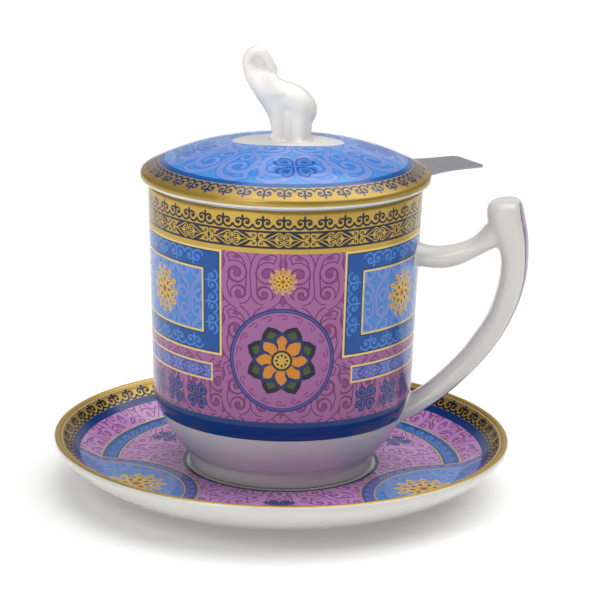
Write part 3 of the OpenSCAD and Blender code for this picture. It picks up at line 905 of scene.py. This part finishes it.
def blue_bay_in_plan():
    """A round bay with a scrolled ribbon round it and a gold rosette in it."""
    out = discs(90, (BAY_R, "pale_gold"), (BAY_R - 0.6, "iris"))
    out += moved(bent(scroll_band(-40, 40, 0, 3.2, 0.66, "lavender"), BAY_R - 4.0), turn=180)
    out += discs(90, (BAY_R - 4.2, "pale_gold"), (BAY_R - 4.8, "sky"))
    out += clipped(damask(-30, 30, -30, 8, 14.0, 12.6, SKY_DAMASK, 1.5), circle(BAY_R - 4.8, 36))
    return out + moved(rosette(9.6), 0, -12.0)


third = showing(damask(-64, 64, 14, 66, 16.6, 14.8, ("mauve", "rose", "rose_deep"), 1.8),
                circle(BAY_R - 0.1, 60, 0, BAY_AT))
for side in (-60, 60):
    third += moved(violet_half_bay(), turn=side)
third += moved(blue_bay_in_plan(), 0, BAY_AT)
saucer_third = inlaid(sector(FOOT_LINE[1], SAUCER_LINE[0], 60, 61), "rose", third,
                      ring_cuts(np.linspace(44, SAUCER_LINE[0], 9), 60, 4.0))
printed("saucer_bay_print", [(saucer_third, places(BAYS, TURN + 60))], saucer_surface, "saucer",
        "saucer_porcelain")
# The scroll is drawn flatter in plan, since the saucer's flank is steep under it.
printed("saucer_band_print", [
    scroll_ring([SAUCER_BAND[0], 67.0, 67.6, 68.3, 68.9, 69.4, 69.75, SAUCER_BAND[1]], 61,
                (1.12, 0.76), SAUCER_BAND[0], 0.05, "gold", "ink", 1.5),
    ringed(np.linspace(*SAUCER_LIP_LINE, 13), 90, "gold", []),
    ringed(np.linspace(*SAUCER_LINE, 3), 90, "cobalt", [], 4.0),
    ringed(np.linspace(*FOOT_LINE, 3), 72, "navy", [], 5.0),
], saucer_surface, "saucer", "saucer_porcelain")


# ---------- handle and finial: joined forms, melted into each other ----------

def loft(rings):
    """Points and faces of a closed solid through rings of equally many points."""
    n = len(rings[0])
    points = [p for ring in rings for p in ring]
    faces = [(i * n + j, i * n + (j + 1) % n, (i + 1) * n + (j + 1) % n, (i + 1) * n + j)
             for i in range(len(rings) - 1) for j in range(n)]
    points += [tuple(np.mean(rings[0], 0)), tuple(np.mean(rings[-1], 0))]
    first, last, top = len(points) - 2, len(points) - 1, (len(rings) - 1) * n
    faces += [(first, (j + 1) % n, j) for j in range(n)]
    faces += [(last, top + j, top + (j + 1) % n) for j in range(n)]
    return points, faces


def applied(piece):
    """Gives the piece the mesh that its modifiers make, and returns it."""
    bpy.context.view_layer.update()
    made = bpy.data.meshes.new_from_object(
        piece.evaluated_get(bpy.context.evaluated_depsgraph_get()))
    piece.modifiers.clear()
    old, piece.data = piece.data, made
    bpy.data.meshes.remove(old)
    return made


def melted(name, shells, voxel_mm, passes, joints, joint_passes):
    """Joins closed shells into one skin and smooths it. Joints are (place, reach, share) where the
    skin is then softened further."""
    points, faces = [], []
    for p, f in shells:
        faces += [tuple(i + len(points) for i in face) for face in f]
        points += list(p)
    made = mesh_object(name, points, faces, [porcelain])
    remesh = made.modifiers.new("skin", "REMESH")
    remesh.mode = "VOXEL"
    remesh.voxel_size = voxel_mm * MM
    remesh.use_smooth_shade = True
    skin = applied(made)
    count = len(skin.vertices)
    co = np.array([tuple(v.co) for v in skin.vertices]) / MM
    pairs = np.array([tuple(e.vertices) for e in skin.edges])
    degree = np.bincount(pairs.ravel(), minlength=count).astype(float)[:, None]

    def pull(p):
        """From each point to the mean of its neighbours."""
        total = np.stack([np.bincount(pairs[:, 0], p[pairs[:, 1], k], count)
                          + np.bincount(pairs[:, 1], p[pairs[:, 0], k], count)
                          for k in range(3)], 1)
        return total / np.maximum(degree, 1) - p

    for i in range(passes):
        co = co + 0.5 * pull(co)
        co = co - 0.51 * pull(co) * (i % 2)
    near = np.zeros(count)
    for place, reach, share in joints:
        away = np.linalg.norm(co - place, axis=1)
        near = np.maximum(near, share * np.clip(2 * (reach - away) / reach, 0, 1))
    for i in range(joint_passes):
        co = co + 0.5 * near[:, None] * pull(co)
    skin.vertices.foreach_set("co", (co * MM).ravel())
    skin.polygons.foreach_set("use_smooth", [True] * len(skin.polygons))
    skin.update()
    return made


def cut_away(piece, cutter):
    """Takes the cutter's solid out of the piece, and removes the cutter."""
    cut = piece.modifiers.new("cut", "BOOLEAN")
    cut.operation = "DIFFERENCE"
    cut.solver = "MANIFOLD"
    cut.object = cutter
    applied(piece)
    bpy.data.objects.remove(cutter)


# Each row holds the two edges of a section: x and height of the inner or lower edge, then of the
# outer or upper edge, in the handle's own plane and above the mug's foot.
STRAP_ROWS = [(36.6, 21.8, 37.9, 15.7), (41.06, 25.12, 43.4, 19.2), (45.48, 28.51, 48.68, 23.06),
              (49.57, 32.34, 53.65, 27.32), (53.36, 36.44, 58.33, 31.95),
              (56.92, 40.74, 62.65, 36.87), (60.03, 45.35, 66.62, 42.12),
              (62.95, 50.12, 70.04, 47.74), (65.28, 55.17, 72.81, 53.69),
              (66.8, 60.47, 74.88, 59.91), (67.81, 65.94, 76.04, 66.38), (67.8, 71.55, 76.13, 73),
              (66, 76.4, 75.75, 78.3), (63.8, 81, 74.85, 83), (63, 85, 73.85, 86.8),
              (62.9, 88.8, 73, 89.6)]
ARM_ROWS = [(34, 67.3, 34, 74.6), (39, 67, 39, 74.4), (43.81, 66.68, 43.58, 73.68),
            (47.77, 66.43, 47.1, 73.28), (51.74, 66.83, 50.62, 73.64),
            (55.52, 68.02, 54.07, 74.49), (59.06, 69.84, 57.34, 75.84),
            (62.46, 71.9, 60.21, 77.88), (65.9, 73.88, 62.6, 80.9), (70, 76.8, 64.8, 84.4)]
END_ROUND, END_SHRINK = 0.95, 0.5
SECTION_POINTS = 56
UNDER_GLAZE, ROOT_WALL = 0.3, 1.6  # how deep a root's skin lies in the mug's wall, and its thickness


def section(p, q, depth, flat, shrink=1.0):
    """A ring of the handle's section from its inner edge p to its outer edge q."""
    t = np.linalg.norm(q - p)
    n = (q - p) / t
    widest = mix(0.5, 0.66, flat)
    base = p + n * t * widest
    ring = []
    for c, s in circle(1, SECTION_POINTS):
        sharp = mix(1, 0.55 if s > 0 else 0.86, flat)
        reach = t * (1 - widest) if s > 0 else t * widest
        m = base + n * (math.copysign(abs(s) ** sharp, s) * reach * shrink)
        side = math.copysign(abs(c) ** mix(1, 0.8, flat), c) * depth / 2 * shrink
        ring.append((m[0], side, MUG_Z + m[1]))
    return ring


def row_at(rows, t):
    """The row at t, between rows or a little past the last."""
    i = min(int(t), len(rows) - 2)
    return on_spline(np.array(rows), i, t - i)


def strap_ring(t, shrink=1.0):
    """The section of the handle's strap at row t."""
    row = row_at(STRAP_ROWS, t)
    return section(row[:2], row[2:], mix(12.4, 15.4, smooth_step((t - 1) / 12)), 1, shrink)


def arm_ring(t):
    """The section of the arm, which joins the strap to the mug's rim, at row t."""
    row = row_at(ARM_ROWS, t)
    return section(row[2:], row[:2], 2.9 + np.linalg.norm(row[2:] - row[:2]), 0.25)


strap_last = len(STRAP_ROWS) - 1
end_turns = np.radians(range(8, 91, 8))
strap = loft([strap_ring(t) for t in np.linspace(0, strap_last - END_ROUND, 90)]
             + [strap_ring(strap_last - END_ROUND * (1 - math.sin(a)),
                           1 - END_SHRINK * (1 - math.cos(a))) for a in end_turns]
             + [strap_ring(strap_last + 0.05, 0.36), strap_ring(strap_last + 0.08, 0.18)])
arm = loft([arm_ring(t) for t in np.linspace(0, len(ARM_ROWS) - 1, 50)])


def wall_patch(turns, z0, z1):
    """A piece of the mug's wall, just under its glaze, which a root of the handle melts into."""
    across = np.radians(np.linspace(-turns, turns, 24))
    rings = []
    for z in np.linspace(z0, z1, 16):
        r = float(mug_radius(z)) - UNDER_GLAZE
        rings.append([(q * math.cos(a), q * math.sin(a), z + MUG_Z)
                      for q, way in ((r, across), (r - ROOT_WALL, across[::-1])) for a in way])
    return loft(rings)


ROOTS = [wall_patch(16, 60, 81), wall_patch(17, 9.5, 32)]
HANDLE_JOINTS = [((64, 0, 84), 10, 0.1), ((43, 0, 77.5), 8, 1), ((41.5, 0, 29), 10, 1)]
handle = melted("handle_porcelain", [strap, arm] + ROOTS, voxel_mm=0.36, passes=26,
                joints=HANDLE_JOINTS, joint_passes=36)
outside = [(r - UNDER_GLAZE + 0.15, z + MUG_Z) for r, z in belly[::-1]]
cut_away(handle, lathe("blank", [(0, 2), (28, 2)] + outside
                       + [(MUG_R - UNDER_GLAZE + 0.15, 98), (0, 98)], 192))
put(handle, "mug", "handle_porcelain", "mug_handle")

# The print on the strap's outer face: (across, along), from the wall up to the free top end.
strap_line = np.array([row_at(STRAP_ROWS, t) for t in np.linspace(0, strap_last, 300)])
strap_steps = np.linalg.norm(np.diff(strap_line[:, 2:], axis=0), axis=1)
strap_along = np.concatenate([[0], np.cumsum(strap_steps)])
handle_skin = BVHTree.FromPolygons([v.co.copy() for v in handle.data.vertices],
                                   [tuple(p.vertices) for p in handle.data.polygons])


def on_strap(points, place):
    """Lays (across, along) on the handle's skin, over the strap's outer face."""
    spots, normals = [], []
    for across, along in points:
        row = np.array([np.interp(along, strap_along, strap_line[:, k]) for k in range(4)])
        out = Vector((row[2] - row[0], 0, row[3] - row[1])).normalized()
        start = Vector((row[2], across, row[3] + MUG_Z)) + 3 * out
        spot, normal, _, _ = handle_skin.ray_cast(start * MM, -out)
        spots.append(tuple(spot / MM))
        normals.append(tuple(normal))
    return np.array(spots), np.array(normals)


STRIP_HALF, STRIP = 5.2, (8.0, float(strap_along[-1]) - 1.4)
strip = moved(damask(-6, 6, 0, 56, 9.4, 9.0, ("navy", "iris", "ink"), 1.2), 0, STRIP[0] + 4)
strip_box = (-STRIP_HALF + 0.25, STRIP_HALF - 0.25)
for y0, y1, ground, vine_ink in ((44, 80.5, "navy", "iris"), (80.5, 84.5, "mauve", "plum"),
                                 (84.5, STRIP[1], "navy", "iris")):
    strip += box(*strip_box, y0, y1, "ink") + box(*strip_box, y0 + 0.3, y1, ground)
    strip += moved(scroll_band(0.6, y1 - y0 - 0.6, -2.8, 5.4, 1.0, vine_ink), 0, y0, turn=90)
right = [(STRIP_HALF, STRIP[1] - 4), (4.2, STRIP[1] - 1.4), (2.4, STRIP[1])]
strip_outline = [(-STRIP_HALF, STRIP[0]), (STRIP_HALF, STRIP[0]), *right,
                 *[(-x, y) for x, y in right[::-1]]]
strip_patch = inlaid(strip_outline, "navy", clipped(strip, strip_outline),
                     grid(-STRIP_HALF, STRIP_HALF, *STRIP, 0.9, 1.6))
printed("handle_print", [(strip_patch, [0])], on_strap, "mug", "handle_porcelain")

# The finial: a small standing elephant, its head thrown back and its trunk curled to its forehead.
# Each row is x, height over the mug's foot, half the thickness and half the breadth.
FORE = [(-2.1, 107.0, 2.5, 3.9), (-2.6, 112.2, 3.3, 4.8), (-3.7, 116.4, 4.3, 5.3),
        (-6.0, 120.6, 4.7, 5.3), (-8.5, 123.1, 4.0, 4.5), (-10.5, 125.2, 3.0, 3.6),
        (-12.0, 128.2, 2.0, 2.8), (-11.3, 130.6, 1.8, 2.5), (-9.3, 131.6, 1.75, 2.4),
        (-7.3, 130.3, 1.7, 2.3), (-5.9, 128.1, 1.6, 2.2), (-4.8, 126.5, 1.4, 2.0)]
HIND = [(4.2, 106.5, 3.4, 4.3), (4.3, 110.5, 3.8, 4.9), (4.6, 113.4, 4.9, 5.6),
        (3.5, 115.8, 4.6, 5.8), (1.4, 117.4, 4.5, 5.6), (-1.2, 118.7, 4.0, 5.3),
        (-3.9, 119.9, 3.7, 4.6)]
FOOT_Z, GLAZE_Z = 102.6, 104.2  # the soles, within the lid's wall, and the glaze over them
FLARE = 1.1  # how much wider a leg is where it comes out of the glaze
LIMB_POINTS = 20


def figure_point(x, y, z):
    """A point of the figure, turned and set on the lid."""
    c, s = math.cos(math.radians(FINIAL_TURN)), math.sin(math.radians(FINIAL_TURN))
    return x * c - y * s, x * s + y * c, z + MUG_Z


def swept(rows, points=32, spans=6):
    """A form swept along rows of (x, z, half its thickness, half its breadth)."""
    line = through(rows, spans)
    return loft([[figure_point(x + way[1] * thick * c, -broad * s, z - way[0] * thick * c)
                  for c, s in circle(1, points)]
                 for (x, z, thick, broad), way in zip(line, directions(line[:, :2]))])


def ball_path(a, ra, b, rb, steps=10):
    """A rounded limb from a to b, as a closed solid."""
    a, b = np.array(a, float), np.array(b, float)
    way = (b - a) / np.linalg.norm(b - a)
    u = np.cross(way, (0.3, 1, 0.2))
    u /= np.linalg.norm(u)
    v = np.cross(way, u)
    bends = [math.pi / 2 * i / steps for i in range(steps + 1)]
    rings = [(a - way * ra * math.cos(c), ra * math.sin(c)) for c in bends[1:]]
    rings += [(b + way * rb * math.sin(c), rb * math.cos(c)) for c in bends[:-1]]
    return loft([[figure_point(*(m + r * (u * x + v * y))) for x, y in circle(1, LIMB_POINTS)]
                 for m, r in rings])


def leg(sole, r_sole, top, r_top, points=40):
    """A leg from its sole inside the lid, flaring where it comes out of the glaze, to its top."""
    (x0, y0), (x1, y1, z1) = sole, top
    heights = [(FOOT_Z, r_sole), (GLAZE_Z - 0.6, r_sole), (GLAZE_Z - 0.3, r_sole + FLARE),
               (GLAZE_Z - 0.05, r_sole + FLARE)]
    heights += [(GLAZE_Z + 2 * t, r_sole + FLARE * (1 - t) ** 3) for t in np.linspace(0.02, 1, 12)]
    heights += [(z, mix(r_sole, r_top, (z - GLAZE_Z - 2) / (z1 - GLAZE_Z - 2)))
                for z in np.linspace(GLAZE_Z + 2.8, z1, 8)]
    rings = []
    for z, r in heights:
        t = (z - FOOT_Z) / (z1 - FOOT_Z)
        rings.append([figure_point(x, y, z)
                      for x, y in circle(r, points, mix(x0, x1, t), mix(y0, y1, t))])
    return loft(rings)


def ear(side):
    """An ear laid back along the neck: a ridge that thins towards the throat."""
    ridge = np.array([(-7.1, 4.3, 124.4), (-4.4, 5.2, 122.1), (-1.6, 5.6, 119.8)]) * (1, side, 1)
    hem = np.array((-5.4, 5.0, 119.6)) * (1, side, 1)
    shells = [ball_path(a, 0.9, b, 0.85) for a, b in zip(ridge, ridge[1:])]
    return shells + [ball_path(mix(ridge[0], hem, t), 0.95, ridge[2], 0.8) for t in (0.35, 0.7, 1.0)]


def web():
    """The filled hollow of the trunk's curl."""
    return loft([[figure_point(x, -1.35 * math.cos(a), z)
                  for x, z in circle(2.8 * math.sin(a), 24, -8.9, 128.3)]
                 for a in [math.pi * i / 12 for i in range(1, 12)]])


def figure():
    """The elephant's parts: fore and hind part, the trunk's curl, legs and ears."""
    shells = [swept(FORE), swept(HIND), web(), ball_path((-4.8, 0, 126.5), 1.6, (-4.4, 0, 125.9), 1.4)]
    for side in (-1, 1):
        shells += [leg((-2.05, side * 2.1), 2.5, (-2.3, side * 1.9, 112.5), 3),
                   leg((4.25, side * 1.9), 3.4, (4.4, side * 1.7, 112), 3.8),
                   ball_path((0.8, side * 2.4, 104.0), 1.9, (0.9, side * 2.9, 112.5), 2.1), *ear(side)]
    return shells


EAR_JOINTS = [(figure_point(-3.5, side * 5, 120.5), 7, 0.8) for side in (-1, 1)]
put(melted("elephant_finial", figure(), voxel_mm=0.26, passes=12, joints=EAR_JOINTS,
           joint_passes=16), "lid", "finial_porcelain", "lid_finial")

# ---------- infuser ----------

for node in ("infuser_rim", "infuser_wall", "infuser_base"):
    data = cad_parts[node].data
    data.materials.clear()
    data.materials.append(steel if node == "infuser_rim" else basket_steel)

# ---------- floor, light and camera ----------

# Matt white paper, with a faint cloudiness so that it isn't a flat white.
PAPER = dict(shade="#f3f3f3", other="#f0f0f0", grain_mm=90, roughness=0.9, spread=0.02)
paper = finish("studio_paper", glow=0.13, **PAPER)
FLOOR_R, FLOOR_POINTS, BACKDROP_H = 7000, 96, 4000
floor_ring = [(x, y, 0) for x, y in circle(FLOOR_R, FLOOR_POINTS)]
mesh_object("studio_floor", floor_ring, [tuple(range(FLOOR_POINTS))], [paper])
# The camera alone sees the backdrop, so that it neither lights the object nor shows in its glaze.
backdrop_paper = finish("backdrop_paper", glow=1.0, **PAPER)
backdrop_faces = []
for k in range(FLOOR_POINTS):
    n = (k + 1) % FLOOR_POINTS
    backdrop_faces.append((k, n, n + FLOOR_POINTS, k + FLOOR_POINTS))
backdrop_ring = [(x, y, BACKDROP_H) for x, y, _ in floor_ring]
backdrop = mesh_object("studio_backdrop", floor_ring + backdrop_ring, backdrop_faces,
                       [backdrop_paper])
backdrop.visible_diffuse = backdrop.visible_glossy = backdrop.visible_shadow = False

world = bpy.data.worlds.new("studio")
bpy.context.scene.world = world
world.use_nodes = True
sky = world.node_tree
height = add(sky, "SeparateXYZ", {0: add(sky, "TexCoord").outputs["Generated"]}).outputs["Z"]
# A dim glimmer all round, a little fainter from above.
fade = add(sky, "MapRange",
           {"Value": height, "From Min": 0.2, "From Max": 0.6, "To Min": 0.14, "To Max": 0.1})
glimmer = sky.nodes["Background"]
glimmer.inputs["Color"].default_value = linear("#fbfcff")
sky.links.new(fade.outputs[0], glimmer.inputs["Strength"])


def light(kind, name, aim, power, place=(0, 0, 0), **settings):
    """A lamp at place that shines at aim, both in millimetres."""
    data = bpy.data.lights.new(name, kind)
    data.energy = power
    for setting, value in settings.items():
        setattr(data, setting, value)
    made = bpy.data.objects.new(name, data)
    bpy.context.scene.collection.objects.link(made)
    made.location = Vector(place) * MM
    made.rotation_euler = (Vector(aim) - Vector(place)).to_track_quat("-Z", "Y").to_euler()


# A wide diffuser overhead lights floor and object evenly, and softboxes give the glaze its gleams.
light("SUN", "overhead_diffuser", (-0.26, -0.14, -1), 2.9, angle=math.radians(75))
for name, place, aim, width, tall, power, spread in (
        ("window_softbox", (-380, -720, 780), (0, 0, 50), 300, 340, 2.0, 180),
        ("table_reflector", (-340, -870, 150), (0, 0, 25), 620, 90, 1.0, 180),
        ("back_softbox", (-250, 1500, 430), (0, 0, 40), 1500, 520, 1.0, 180),
        # A grid over the last one keeps its light to the finial.
        ("finial_softbox", (-160, -520, 560), (-2, 0, 126), 60, 60, 0.009, 9)):
    light("AREA", name, aim, power, place, shape="RECTANGLE", size=width * MM, size_y=tall * MM,
          spread=math.radians(spread))

camera_data = bpy.data.cameras.new("camera")
camera_data.lens = 147.53
camera_data.sensor_width = 36
camera_data.clip_start = 0.01
camera = bpy.data.objects.new("camera", camera_data)
bpy.context.scene.collection.objects.link(camera)
camera.location = Vector((135.05, -736.3, 259.6)) * MM
way = Vector((-0.16781, 0.95171, -0.25708))
up = Vector((-0.06334, 0.24983, 0.96622))
right = way.cross(up).normalized()
up = right.cross(way).normalized()
camera.rotation_euler = Matrix((right, up, -way)).transposed().to_euler()
bpy.context.scene.camera = camera
bpy.context.scene.view_settings.view_transform = "Standard"
